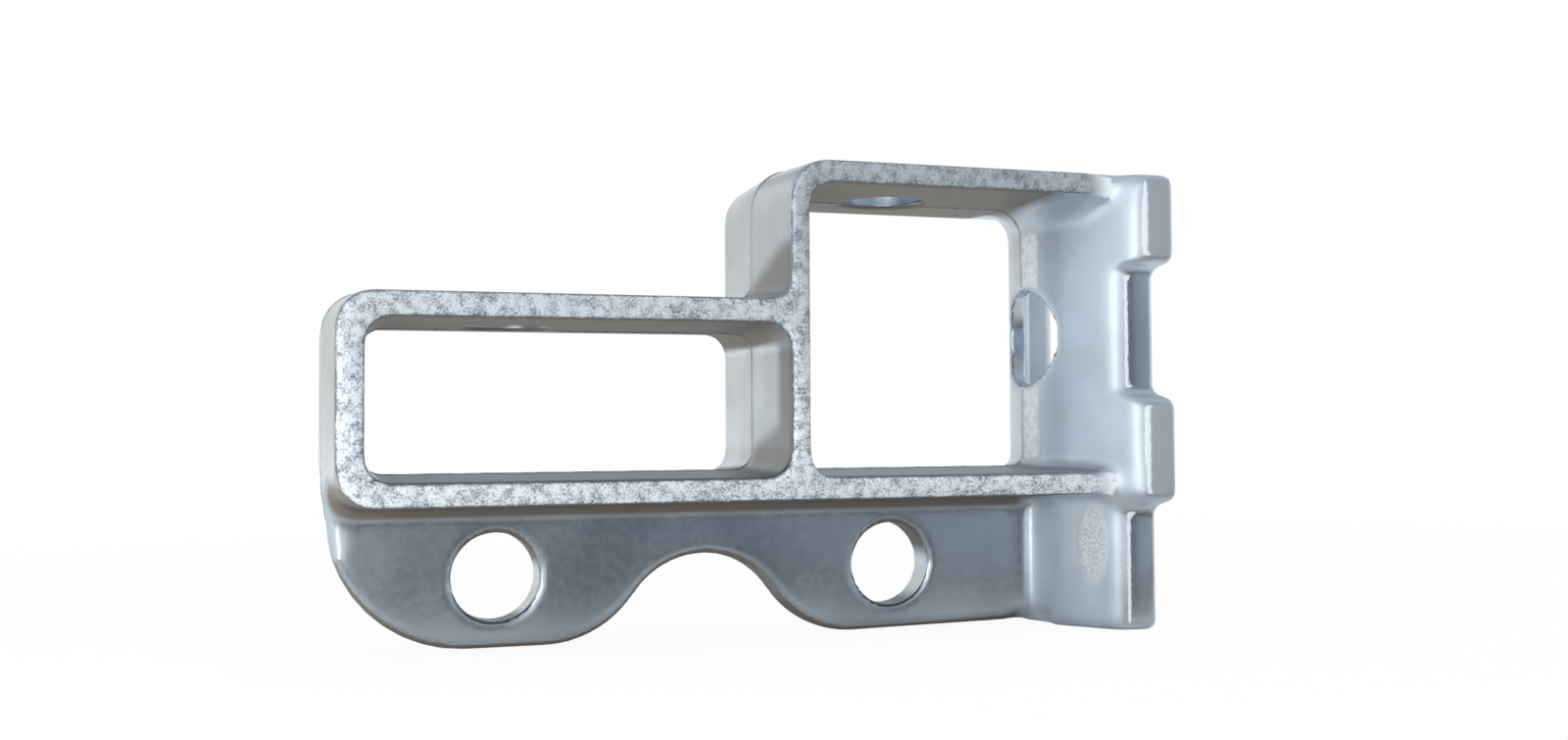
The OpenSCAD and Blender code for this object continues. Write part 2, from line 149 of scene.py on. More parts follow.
def linear(colour: str) -> tuple[float, float, float, float]:
    """Turns an sRGB hex colour to linear values.

    Args:
        colour: six hex digits after a hash.

    Returns:
        Red, green, blue and an alpha of 1.
    """
    parts = [int(colour[i : i + 2], 16) / 255 for i in (1, 3, 5)]
    low = [c / 12.92 if c <= 0.04045 else ((c + 0.055) / 1.055) ** 2.4 for c in parts]
    return (*low, 1.0)


def empty_tree(block: bpy.types.Material | bpy.types.World) -> Tree:
    """Gives a material or world an empty node tree.

    Args:
        block: the material or world.

    Returns:
        Its tree.
    """
    block.use_nodes = True
    block.node_tree.nodes.clear()
    return block.node_tree


def add(tree: Tree, kind: Kind, *values: Socket | float | str | Triple, **settings: str) -> Socket | None:
    """Adds a node to a tree, with its settings and its links.

    Args:
        tree: the material's or world's node tree.
        kind: the kind of node.
        values: what its inputs get in the kind's order: a socket, a number, a hex colour or a vector.
        settings: settings of this node alone.

    Returns:
        The output that is read from this kind, or None where the tree ends.
    """
    node = tree.nodes.new(kind.type_name)
    for name, setting in (kind.settings | settings).items():
        setattr(node, name, setting)
    for place, value in zip(kind.inputs, values):
        if isinstance(value, Socket):
            tree.links.new(value, node.inputs[place])
        else:
            node.inputs[place].default_value = linear(value) if isinstance(value, str) else value
    return None if kind.output is None else node.outputs[kind.output]


def metres(lengths: tuple[float, ...]) -> tuple[float, ...]:
    """Turns lengths in millimetres to metres."""
    return tuple(length * MM for length in lengths)


def per_metre(size: float) -> float:
    """Gives the scale at which a pattern, or a distance, has size millimetres for its unit."""
    return 1 / (size * MM)


def smooth_step(value: np.ndarray, start: float, end: float) -> np.ndarray:
    """Rises from 0 at start to 1 at end along 3t^2 - 2t^3, and falls where end is below start."""
    t = np.clip((value - start) / (end - start), 0, 1)
    return t * t * (3 - 2 * t)


def within(value: np.ndarray, window: Window) -> np.ndarray:
    """Rises between a window's first two numbers and falls between its last two, by smooth steps."""
    return smooth_step(value, window[0], window[1]) * smooth_step(value, window[3], window[2])


def read_points(mesh: bpy.types.Mesh) -> np.ndarray:
    """Reads a mesh's points as an array of rows, in millimetres."""
    flat = np.empty(len(mesh.vertices) * 3)
    mesh.vertices.foreach_get("co", flat)
    return flat.reshape(-1, 3) / MM


def write_points(mesh: bpy.types.Mesh, points: np.ndarray) -> None:
    """Writes an array of points in millimetres back to a mesh."""
    mesh.vertices.foreach_set("co", (points * MM).ravel())
    mesh.update()


def read_normals(mesh: bpy.types.Mesh) -> np.ndarray:
    """Reads the points' normals as an array of rows."""
    flat = np.empty(len(mesh.vertices) * 3)
    mesh.vertex_normals.foreach_get("vector", flat)
    return flat.reshape(-1, 3)


def keep_in_box(points: np.ndarray) -> np.ndarray:
    """Moves the points that stand past the CAD box, in millimetres, onto it."""
    lowest, highest = (np.array(corner) / MM for corner in cad_box)
    return np.clip(points, lowest, highest)


def settle(
    points: np.ndarray, edges: np.ndarray, weight: np.ndarray, rounds: int, step: float = 0.5
) -> np.ndarray:
    """Softens a skin as rubbing down does.

    In each round a point moves by step times its weight towards the mean of its neighbours.

    Args:
        points: the skin's points, or any three values at each of them.
        edges: pairs of neighbouring points.
        weight: how freely each point moves, from 0 to 1.
        rounds: how many times the points move.
        step: share of the way to the mean.

    Returns:
        The moved points.
    """
    count = len(points)
    first, second = edges[:, 0], edges[:, 1]
    near = np.bincount(first, minlength=count) + np.bincount(second, minlength=count)
    free = (step * weight)[:, None]
    for _ in range(rounds):
        sums = [
            np.bincount(first, points[second, k], count) + np.bincount(second, points[first, k], count)
            for k in range(3)
        ]
        mean = np.stack(sums, axis=1) / near[:, None]
        points = points + free * (mean - points)
    return points


@dataclass(frozen=True)
class Hole:
    """One hole of the casting and how far its edge is rolled over.

    centre is in the middle of the wall that it goes through, and half_wall is how far that wall
    reaches to each side along the hole's axis. roll_width and roll_depth are the rolled edge's
    width on the face and its depth at the bore.

    Points within reach_beside of the bore and reach_past the wall are worked. face_lean is where
    the normal starts to be a face's, and trued_within is where truing starts and is full.
    smallest keeps a point on the axis from dividing by 0. The flash starts again at clear_start of
    its room from the bore, as far as clear_past the wall.
    """

    centre: Triple
    axis: Axis
    radius: float
    half_wall: float
    roll_width: float
    roll_depth: float
    reach_beside: float = 2.0
    reach_past: float = 1.5
    face_lean: Band = (0.3, 0.75)
    trued_within: Band = (0.9, 0.5)
    smallest: float = 0.1
    clear_past: float = 3.0
    clear_start: float = 0.2

    def measure(self, points: np.ndarray) -> tuple[np.ndarray, np.ndarray]:
        """Measures points from the hole.

        Args:
            points: rows of places.

        Returns:
            Each point's distance from the hole's axis, and its height along it.
        """
        away = points - np.array(self.centre)
        height = away[:, self.axis.value].copy()
        away[:, self.axis.value] = 0
        return np.linalg.norm(away, axis=1), height

    def roll(self, points: np.ndarray, normals: np.ndarray) -> np.ndarray:
        """Trues the bore and rolls its edges over.

        A point within half a millimetre of the bore moves out or in to its radius, and one up to
        0.9 mm away moves part of the way. A point of the face at distance s from the bore sinks
        along the hole's axis by roll_depth * (1 - s / roll_width)^2.

        Args:
            points: the skin's points.
            normals: their normals.

        Returns:
            The moved points.
        """
        reach, height = self.measure(points)
        way = normals[:, self.axis.value]
        beside = np.abs(reach - self.radius)
        near = (beside < self.reach_beside) & (np.abs(height) < self.half_wall + self.reach_past)
        share = np.clip(1 - (reach - self.radius) / self.roll_width, 0, 1)
        sink = self.roll_depth * share**2 * smooth_step(np.abs(way), *self.face_lean) * np.sign(way)
        trued = reach + smooth_step(beside, *self.trued_within) * (self.radius - reach)
        wide = np.maximum(trued, self.radius)
        growth = np.where(near, wide / np.maximum(reach, self.smallest), 1)[:, None]
        middle = np.array(self.centre)
        moved = middle + (points - middle) * growth
        moved[:, self.axis.value] = points[:, self.axis.value] - np.where(near, sink, 0)
        return moved

    def clear(self, points: np.ndarray, room: float) -> np.ndarray:
        """Says how clear of the hole points are.

        Args:
            points: rows of places.
            room: how far from the bore they are fully clear.

        Returns:
            0 in and beside the hole, rising to 1 at room away from its bore.
        """
        reach, height = self.measure(points)
        beside = smooth_step(reach, self.radius + self.clear_start * room, self.radius + room)
        return np.where(np.abs(height) < self.half_wall + self.clear_past, beside, 1.0)


@dataclass(frozen=True)
class Readings:
    """What the casting's finish reads at a point: its place, normal, masks and four noises.

    The place is in metres. cloud is the frost's cloudiness, grain its grit, wave the walls' slow
    unevenness and torn what frays the masks' borders.
    """

    x: Socket
    y: Socket
    z: Socket
    lean_x: Socket
    lean_y: Socket
    lean_z: Socket
    rim: Socket
    cut: Socket
    edge: Socket
    scuff: Socket
    corner_shade: Socket
    cloud: Socket
    grain: Socket
    wave: Socket
    torn: Socket


@dataclass(frozen=True)
class BlastedOval:
    """The small blasted oval low on each wing of the seat, on the arm's side: pale, dull and gritty.

    Its middle and half sizes are across and up, in millimetres.
    """

    middle: Band = (18.4, -46.0)
    half_size: Band = (3.0, 8.8)
    border: Band = (1.2, 0.7)
    wing_x: Band = (-4.0, -2.0)
    wing_lean: Band = (0.0, -0.3)
    grit: Band = (0.3, 0.7)
    dark: str = "#B3BABF"
    light: str = "#E4E8EB"

    def share(self, tree: Tree, at: Readings) -> Socket:
        """Adds the oval's mask, which falls with the distance from its middle in half sizes.

        Args:
            tree: the material's tree.
            at: what the finish reads.

        Returns:
            1 in the oval's middle and 0 outside it.
        """
        across = add(tree, Kind.SIZE, at.y)
        spot = add(tree, Kind.JOINED, 0.0, across, at.z)
        middle = add(tree, Kind.VECTOR_LESS, spot, (0, *metres(self.middle)))
        spans = (0, per_metre(self.half_size[0]), per_metre(self.half_size[1]))
        away = add(tree, Kind.LENGTH, add(tree, Kind.VECTOR_TIMES, middle, spans))
        on_seat = add(tree, Kind.RAMP, at.x, *metres(self.wing_x))
        wing = add(tree, Kind.TIMES, on_seat, add(tree, Kind.RAMP, at.lean_x, *self.wing_lean))
        return add(tree, Kind.TIMES, add(tree, Kind.RAMP, away, *self.border), wing)

    def colour(self, tree: Tree, at: Readings) -> Socket:
        """Adds the oval's colour, which follows the grit."""
        share = add(tree, Kind.RAMP, at.grain, *self.grit)
        return add(tree, Kind.MIXED_COLOUR, share, self.dark, self.light)


@dataclass(frozen=True)
class BareCasting:
    """Aluminium casting alloy as it leaves a metal mould, neither painted nor polished.

    The drafted walls keep the mould's satin shine, a little wavy. The rims were blasted: they are
    pale, frosted and cloudy, darker towards their edges, and painted darker towards the top as
    shade. Faces that look down, off the seat, are dull and painted brown as shade, deeper below the
    floor. The seat's skin has dulled in the weather, the cells' floors are duller and painted darker
    as shade, the wall between the cells carries painted shade and dark reflection by its hollow
    corners on its arm side, the tabs' ends were ground, and the corner of the seat's border carries a
    painted highlight.

    Patterns are each size in millimetres, detail and roughness. The grit is drawn at half a
    millimetre, because the real one is too fine to show. A band gives where a change starts and
    ends: in millimetres where its name ends in x, z or mm, and else in the mask's or the normal's
    own units. A change also gives what it goes from and to.
    """

    wall: str = "#CFDBE5"
    wall_deep: str = "#C2CDD7"
    # Painted shade: the brown of faces that look down, and its deeper tone below the floor.
    underside_shade: str = "#847E76"
    underside_shade_deep: str = "#76706A"
    # Painted shade and dark reflection by the hollow corners of the wall between the cells.
    corner_shaded: str = "#868C91"
    # Painted shade on the cells' floors.
    floor_painted_shade: str = "#A4ABB1"
    frost: str = "#EAF1F7"
    frost_dark: str = "#747D84"
    ground: str = "#A8B1B8"
    # Painted highlight on the corner of the seat's border.
    painted_edge_highlight: str = "#E9F0F5"
    oval: BlastedOval = BlastedOval()

    cloud: Triple = (2.0, 3.0, 0.55)
    grain: Triple = (0.5, 2.0, 0.7)
    wave: Triple = (16.0, 2.0, 0.45)
    torn: Triple = (1.6, 2.0, 0.6)

    rim_fray: float = 0.5
    rim_border: Band = (0.42, 0.52)
    scuff_fray: float = 0.9
    scuff_border: Band = (0.85, 1.2)
    scuff_tone: Change = (0.35, 0.6, 0.8, 1.0)
    highlight_fray: float = 0.5
    highlight_border: Band = (0.62, 0.85)
    rim_middle: Band = (0.15, 0.8)
    rim_middle_share: float = 0.45
    grit_share: float = 0.9
    pale_speckle: Band = (1.02, 1.6)
    # Over this band the frost is painted darker towards the top, as shade.
    top_shade_z: Band = (34.0, -25.0)
    top_shade_least: float = 0.5
    tip_x: Band = (-1.0, 6.0)
    wall_tone: Band = (0.35, 0.62)

    off_seat_x: Band = (-4.0, -8.0)
    # Faces that look down, off the seat, get painted shade.
    underside_lean: Band = (-0.08, -0.45)
    underside_shade_deep_z: Band = (-31.0, -35.0)
    floor_z: Band = (-20.0, -25.0)
    floor_lean: Band = (0.7, 0.95)
    seat_x: Band = (-5.5, -2.0)
    flat_lean: Band = (0.8, 0.97)
    outward_mm: Band = (-18.0, -14.0)
    bore_mm: Band = (11.35, 11.05)

    satin: Change = (0.3, 0.7, 0.2, 0.27)
    seat_rough: float = 0.36
    dull_rough: float = 0.5
    matt_rough: float = 0.6
    bright_rough: float = 0.5
    underside_metal: float = 0.3
    seat_metal: float = 0.73
    matt_metal: float = 0.4
    bright_metal: float = 0.3
    plain_gloss: float = 0.5
    underside_gloss: float = 0.15

    wave_depth: float = 0.08
    wave_strength: float = 0.15
    pit_depth: float = 0.25
    pit_grit: float = 0.35
    pit_strength: Band = (0.02, 0.55)
    seat_pits: float = 0.06

    def readings(self, tree: Tree) -> Readings:
        """Adds what the finish reads.

        The masks come from the piece's own attributes: rim is 1 in the middle of a cut rim and falls
        towards its edges, cut is 1 on a tab's ground end, edge is 1 on the corner of the seat's border,
        where a highlight is painted, scuff is 1 beside the parting line on the seat, and the last mask is
        1 where shade and dark reflection are painted on the wall between the cells.

        Args:
            tree: the material's tree.

        Returns:
            All that is read.
        """
        place = add(tree, Kind.PLACE)
        spot = add(tree, Kind.PARTS, place).node.outputs
        lean = add(tree, Kind.PARTS, add(tree, Kind.NORMAL)).node.outputs
        names = ("rim", "cut", "edge", "scuff", "corner_shade")
        masks = (add(tree, Kind.MASK, attribute_name=name) for name in names)
        noises = (
            add(tree, Kind.NOISE, place, per_metre(size), detail, rough)
            for size, detail, rough in (self.cloud, self.grain, self.wave, self.torn)
        )
        return Readings(*spot, *lean, *masks, *noises)

    def underside_shade_share(self, tree: Tree, at: Readings) -> Socket:
        """Adds the mask of the painted shade on faces that look down: 1 on them, but not on the seat."""
        down = add(tree, Kind.RAMP, at.lean_z, *self.underside_lean)
        return add(tree, Kind.TIMES, down, add(tree, Kind.RAMP, at.x, *metres(self.off_seat_x)))

    def floor_shade_share(self, tree: Tree, at: Readings) -> Socket:
        """Adds the mask of the cells' floors, which are painted darker as shade: 1 low down on faces that
        look up.
        """
        low = add(tree, Kind.RAMP, at.z, *metres(self.floor_z))
        return add(tree, Kind.TIMES, low, add(tree, Kind.RAMP, at.lean_z, *self.floor_lean))

    def seat_share(self, tree: Tree, at: Readings) -> Socket:
        """Adds the mask of the seat's dulled skin.

        Args:
            tree: the material's tree.
            at: what the finish reads.

        Returns:
            1 beyond the frame, but not on the frame's rims, the tabs' ends and the pole hole's bore.
        """
        outward = add(tree, Kind.RAMP, add(tree, Kind.TIMES, at.lean_y, at.y), *metres(self.outward_mm))
        sideways = add(tree, Kind.RAMP, add(tree, Kind.SIZE, at.lean_y), *self.flat_lean)
        flat = add(tree, Kind.TIMES, sideways, outward)
        reach = add(tree, Kind.LENGTH, add(tree, Kind.JOINED, 0.0, at.y, at.z))
        turned = add(tree, Kind.LARGER, flat, add(tree, Kind.RAMP, reach, *metres(self.bore_mm)))
        beyond = add(tree, Kind.RAMP, at.x, *metres(self.seat_x))
        return add(tree, Kind.TIMES, beyond, add(tree, Kind.LESS, 1.0, turned))

    def frost_share(self, tree: Tree, at: Readings, oval: Socket) -> Socket:
        """Adds the mask of all that is frosted.

        Args:
            tree: the material's tree.
            at: what the finish reads.
            oval: the ovals' mask.

        Returns:
            1 on the rims, the scuffed strip and the ovals, with frayed borders.
        """
        ragged = add(tree, Kind.TIMES_PLUS, at.torn, self.rim_fray, at.rim)
        rims = add(tree, Kind.RAMP, ragged, *self.rim_border)
        frayed = add(tree, Kind.TIMES_PLUS, at.torn, self.scuff_fray, at.scuff)
        scuffed = add(tree, Kind.RAMP, frayed, *self.scuff_border)
        return add(tree, Kind.LARGER, add(tree, Kind.LARGER, rims, scuffed), oval)

    def frost_tone(self, tree: Tree, at: Readings, oval: Socket) -> Socket:
        """Adds the frost's colour.

        Args:
            tree: the material's tree.
            at: what the finish reads.
            oval: the ovals' mask.

        Returns:
            Clouded grit, paler mid-rim, by the parting line and at the rims' ends, and paler low down,
            which paints shade towards the top.
        """
        middle = add(tree, Kind.RAMP, at.rim, *self.rim_middle)
        clouded = add(tree, Kind.TIMES_PLUS, middle, self.rim_middle_share, at.cloud)
        speckled = add(tree, Kind.TIMES_PLUS, at.grain, self.grit_share, clouded)
        # Painted shade: the frost's paleness falls towards the top.
        top_shade = add(tree, Kind.RAMP, at.z, *metres(self.top_shade_z), self.top_shade_least, 1.0)
        pale = add(tree, Kind.TIMES, add(tree, Kind.RAMP, speckled, *self.pale_speckle), top_shade)
        patchy = add(tree, Kind.TIMES, at.scuff, add(tree, Kind.RAMP, at.torn, *self.scuff_tone))
        tip = add(tree, Kind.RAMP, at.x, *metres(self.tip_x))
        paler = add(tree, Kind.LARGER, add(tree, Kind.LARGER, pale, patchy), tip)
        tone = add(tree, Kind.MIXED_COLOUR, paler, self.frost_dark, self.frost)
        return add(tree, Kind.MIXED_COLOUR, oval, tone, self.oval.colour(tree, at))

    def skin_tone(self, tree: Tree, at: Readings, under: Socket, inside: Socket) -> Socket:
        """Adds the colour of what isn't frosted.

        Args:
            tree: the material's tree.
            at: what the finish reads.
            under: the mask of the painted shade on faces that look down.
            inside: the mask of the cells' floors, which are painted darker as shade.

        Returns:
            The walls' colour under the painted shade of faces that look down, of the wall between the cells
            and of the duller floors.
        """
        uneven = add(tree, Kind.RAMP, at.wave, *self.wall_tone)
        walls = add(tree, Kind.MIXED_COLOUR, uneven, self.wall_deep, self.wall)
        # Painted shade on faces that look down, deeper below the floor, then painted shade and dark
        # reflection on the wall between the cells, and painted shade on the cells' floors.
        deep_shade = add(tree, Kind.RAMP, at.z, *metres(self.underside_shade_deep_z))
        underside_shade = add(tree, Kind.MIXED_COLOUR, deep_shade, self.underside_shade, self.underside_shade_deep)
        underside_shaded = add(tree, Kind.MIXED_COLOUR, under, walls, underside_shade)
        corner_shaded = add(tree, Kind.MIXED_COLOUR, at.corner_shade, underside_shaded, self.corner_shaded)
        return add(tree, Kind.MIXED_COLOUR, inside, corner_shaded, self.floor_painted_shade)

    def material(self) -> bpy.types.Material:
        """Builds the casting's material.

        Returns:
            A metal whose roughness, colour and relief change from the walls to the rims.
        """
        made = bpy.data.materials.new("bare_aluminium_casting")
        tree = empty_tree(made)
        at = self.readings(tree)
        oval = self.oval.share(tree, at)
        frost = self.frost_share(tree, at, oval)
        under = self.underside_shade_share(tree, at)
        inside = self.floor_shade_share(tree, at)
        seat = self.seat_share(tree, at)
        matt = add(tree, Kind.LARGER, frost, at.cut)
        # Painted highlight along the corner of the seat's border, with a frayed border.
        rubbed = add(tree, Kind.TIMES_PLUS, at.torn, self.highlight_fray, at.edge)
        bright = add(tree, Kind.RAMP, rubbed, *self.highlight_border)

        skin = self.skin_tone(tree, at, under, inside)
        frosted = add(tree, Kind.MIXED_COLOUR, frost, skin, self.frost_tone(tree, at, oval))
        ends = add(tree, Kind.MIXED_COLOUR, at.cut, frosted, self.ground)
        colour = add(tree, Kind.MIXED_COLOUR, bright, ends, self.painted_edge_highlight)

        satin = add(tree, Kind.RAMP, at.cloud, *self.satin)
        seated = add(tree, Kind.MIXED, seat, satin, self.seat_rough)
        dulled = add(tree, Kind.MIXED, add(tree, Kind.LARGER, under, inside), seated, self.dull_rough)
        blasted = add(tree, Kind.MIXED, matt, dulled, self.matt_rough)
        rough = add(tree, Kind.MIXED, bright, blasted, self.bright_rough)

        clean = add(tree, Kind.RAMP, under, 0.0, 1.0, 1.0, self.underside_metal)
        fresh = add(tree, Kind.TIMES, clean, add(tree, Kind.RAMP, seat, 0.0, 1.0, 1.0, self.seat_metal))
        pitted = add(tree, Kind.MIXED, matt, fresh, self.matt_metal)
        metal = add(tree, Kind.MIXED, bright, pitted, self.bright_metal)
        gloss = add(tree, Kind.RAMP, under, 0.0, 1.0, self.plain_gloss, self.underside_gloss)

        slow = add(tree, Kind.RELIEF, at.wave, self.wave_depth * MM, self.wave_strength)
        pits = add(tree, Kind.TIMES_PLUS, at.grain, self.pit_grit, at.cloud)
        frost_pits = add(tree, Kind.RAMP, frost, 0.0, 1.0, *self.pit_strength)
        strength = add(tree, Kind.LARGER, frost_pits, add(tree, Kind.TIMES, seat, self.seat_pits))
        relief = add(tree, Kind.RELIEF, pits, self.pit_depth * MM, strength, slow)
        shader = add(tree, Kind.METAL, colour, metal, rough, relief, gloss)
        add(tree, Kind.MATERIAL_END, shader)
        return made


@dataclass(frozen=True)
class TrimmedFlash:
    """The thin line of metal where the mould's halves met, cut back by hand: bright and finely torn.

    The tear is its size in millimetres, detail and roughness.
    """

    colour: str = "#CDD3D7"
    worn: str = "#8E959B"
    tear: Triple = (0.9, 2.0, 0.5)
    shine: Change = (0.3, 0.7, 0.22, 0.45)
    tear_depth: float = 0.15
    tear_strength: float = 0.6

    def material(self) -> bpy.types.Material:
        """Builds the flash's material.

        Returns:
            A bright metal whose colour, shine and relief follow one fine tear.
        """
        made = bpy.data.materials.new("trimmed_parting_flash")
        tree = empty_tree(made)
        size, detail, rough = self.tear
        tear = add(tree, Kind.NOISE, add(tree, Kind.PLACE), per_metre(size), detail, rough)
        tone = add(tree, Kind.MIXED_COLOUR, tear, self.worn, self.colour)
        shine = add(tree, Kind.RAMP, tear, *self.shine)
        relief = add(tree, Kind.RELIEF, tear, self.tear_depth * MM, self.tear_strength)
        shader = add(tree, Kind.METAL, tone, 1.0, shine, relief)
        add(tree, Kind.MATERIAL_END, shader)
        return made


def show(name: str, data: bpy.types.ID) -> bpy.types.Object:
    """Makes an object of a mesh, camera or lamp and links it to the scene."""
    made = bpy.data.objects.new(name, data)
    bpy.context.scene.collection.objects.link(made)
    return made


@dataclass
class Casting:
    """The whole casting, refined from its CAD node.

    Bands and windows are places in millimetres along the axis that their names end in, where y and
    in are measured outwards from the middle plane and inwards from the outer face. Those whose
    names end in face or lean are parts of the skin's normal.
    """

    pitch: float = 0.86
    merge_within: float = 0.002
    soften_rounds: int = 2
    rub_rounds: int = 16
    half_depth: float = 23.5
    seat_half: float = 28.8
    holes: tuple[Hole, ...] = field(
        default_factory=lambda: (
            Hole((-124.5, 0, -50), Axis.Y, radius=9, half_wall=3.75, roll_width=1.0, roll_depth=0.35),
            Hole((-38.2, 0, -50), Axis.Y, radius=9, half_wall=3.75, roll_width=1.0, roll_depth=0.35),
            Hole((-121.7, 0, 3.6), Axis.Z, radius=9, half_wall=3.5, roll_width=1.0, roll_depth=0.3),
            Hole((-38, 0, 32.6), Axis.Z, radius=9, half_wall=3.4, roll_width=1.0, roll_depth=0.3),
            Hole((1.0, 0, 0), Axis.X, radius=11, half_wall=7.0, roll_width=1.0, roll_depth=0.2),
        )
    )
    made: bpy.types.Object | None = None

    junction_y: Band = (20.0, 23.0)
    junction_x: Window = (0.5, 4.0, 9.0, 12.0)
    junction_low_z: Window = (-39.0, -36.0, -30.0, -27.0)
    junction_top_z: Band = (27.0, 30.0)
    corner_x: Band = (-150.0, -155.0)
    corner_z: Window = (-46.0, -42.0, -30.0, -26.0)
    root_x: Window = (-10.0, -7.5, -0.5, 1.5)
    root_y: Band = (9.0, 7.0)
    root_z: Band = (-36.0, -39.0)

    rim_face: Band = (0.5, 0.8)
    rim_in: Band = (1.3, 0.6)
    rim_level_past_x: float = -1.0
    rim_low_z: Window = (-38.0, -36.0, -28.0, -26.0)
    rim_top_z: Band = (27.5, 29.5)
    rim_end_x: Band = (9.0, 0.5)
    tab_face: Band = (0.9, 0.97)
    tab_in: Band = (0.9, 0.4)
    # Where a highlight is painted on the corner of the seat's border.
    highlight_face: Window = (0.88, 0.93, 0.96, 0.99)
    highlight_x: Band = (8.5, 9.5)
    highlight_away_lean: float = -0.1
    highlight_level_lean: float = 0.25
    scuff_lean: float = -0.8
    scuff_x: Band = (-4.5, -3.9)
    scuff_y: Window = (-8.5, -5.5, -0.2, 0.6)
    scuff_z: Window = (-29.0, -27.0, 22.0, 27.5)
    # Where shade and dark reflection are painted on the wall between the cells.
    corner_shade_lean: float = -0.5
    corner_shade_x: Window = (-73.0, -70.0, -64.0, -62.0)
    corner_shade_front: Band = (0.0, 2.0)
    roof_rise: float = 0.45
    roof_shade_z: Band = (11.0, 8.5)
    roof_shade_top_z: Band = (19.5, 17.0)
    floor_rise: float = 0.28
    floor_shade_z: Band = (-23.2, -25.2)
    roof_middle_z: float = 4.0
    rim_shade_front: Band = (14.8, 16.8)
    rim_shade_z: Band = (1.0, -3.0)
    lowest_shade_z: float = -32.0
    spread_rounds: dict[str, int] = field(
        default_factory=lambda: {"rim": 3, "cut": 2, "edge": 1, "scuff": 2, "corner_shade": 6}
    )

    def even_skin(self) -> bpy.types.Mesh:
        """Copies the CAD node and gives the copy an even skin of small squares.

        Returns:
            A new mesh, still with the CAD node's edges.
        """
        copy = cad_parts[NODE].data.copy()
        work = bmesh.new()
        work.from_mesh(copy)
        bmesh.ops.remove_doubles(work, verts=work.verts, dist=self.merge_within * MM)
        work.to_mesh(copy)
        work.free()
        holder = show("skin_source", copy)
        remesh = holder.modifiers.new("even", "REMESH")
        remesh.mode = "VOXEL"
        remesh.voxel_size = self.pitch * MM
        graph = bpy.context.evaluated_depsgraph_get()
        skin = bpy.data.meshes.new_from_object(holder.evaluated_get(graph))
        bpy.data.objects.remove(holder)
        return skin

    def rubbed(self, points: np.ndarray) -> np.ndarray:
        """Says how freely each point settles once the edges are soft.

        The junctions of the frame's rims with the seat, of the arm's lower corner with the flange, and
        of the flange with the seat are rubbed most, as the pattern's fillets are.

        Args:
            points: the skin's points.

        Returns:
            1 at the junctions and 0 away from them.
        """
        x, y, z = points[:, 0], np.abs(points[:, 1]), points[:, 2]
        rim = smooth_step(y, *self.junction_y) * within(x, self.junction_x)
        level = within(z, self.junction_low_z) + smooth_step(z, *self.junction_top_z)
        corner = smooth_step(x, *self.corner_x) * within(z, self.corner_z)
        root = within(x, self.root_x) * smooth_step(z, *self.root_z) * smooth_step(y, *self.root_y)
        return np.clip(rim * level + corner + root, 0, 1)

    def work_skin(self, skin: bpy.types.Mesh) -> np.ndarray:
        """Softens every edge, rubs the junctions, trues the bores and rolls their edges over.

        Args:
            skin: the even skin, whose points are moved.

        Returns:
            The skin's edges as pairs of points.
        """
        points = read_points(skin)
        flat = np.empty(len(skin.edges) * 2, dtype=np.int32)
        skin.edges.foreach_get("vertices", flat)
        edges = flat.reshape(-1, 2)
        points = settle(points, edges, np.ones(len(points)), self.soften_rounds)
        points = settle(points, edges, self.rubbed(points), self.rub_rounds)
        write_points(skin, points)
        normals = read_normals(skin)
        for hole in self.holes:
            points = hole.roll(points, normals)
        write_points(skin, keep_in_box(points))
        return edges

    def rim_mask(self, points: np.ndarray, normals: np.ndarray) -> np.ndarray:
        """Finds the frame's cut rims, which past the seat's start lie level with its roof and floor.

        Args:
            points: the skin's points.
            normals: their normals.

        Returns:
            1 on the rims.
        """
        x, y, z = points[:, 0], np.abs(points[:, 1]), points[:, 2]
        outer, inner = (self.half_depth - inward for inward in self.rim_in)
        rim = smooth_step(np.abs(normals[:, 1]), *self.rim_face) * smooth_step(y, outer, inner)
        level = within(z, self.rim_low_z) + smooth_step(z, *self.rim_top_z)
        return rim * np.where(x > self.rim_level_past_x, level, 1) * smooth_step(x, *self.rim_end_x)

    def seat_masks(self, points: np.ndarray, normals: np.ndarray) -> tuple[np.ndarray, ...]:
        """Finds the seat's worked places.

        Args:
            points: the skin's points.
            normals: their normals.

        Returns:
            Masks of the tabs' ends, of the border's corner where a highlight is painted, and of the scuffed
            strip.
        """
        x, y, z = points[:, 0], points[:, 1], points[:, 2]
        across = np.abs(normals[:, 1])
        outer, inner = (self.seat_half - inward for inward in self.tab_in)
        cut = smooth_step(across, *self.tab_face) * smooth_step(np.abs(y), outer, inner)
        # The painted highlight keeps to the corner's faces that look towards the arm and not up or down.
        facing = (normals[:, 0] < self.highlight_away_lean) & (np.abs(normals[:, 2]) < self.highlight_level_lean)
        edge = within(across, self.highlight_face) * smooth_step(x, *self.highlight_x) * facing
        strip = within(y, self.scuff_y) * within(z, self.scuff_z)
        scuff = strip * (normals[:, 0] < self.scuff_lean) * smooth_step(x, *self.scuff_x)
        return cut, edge, scuff

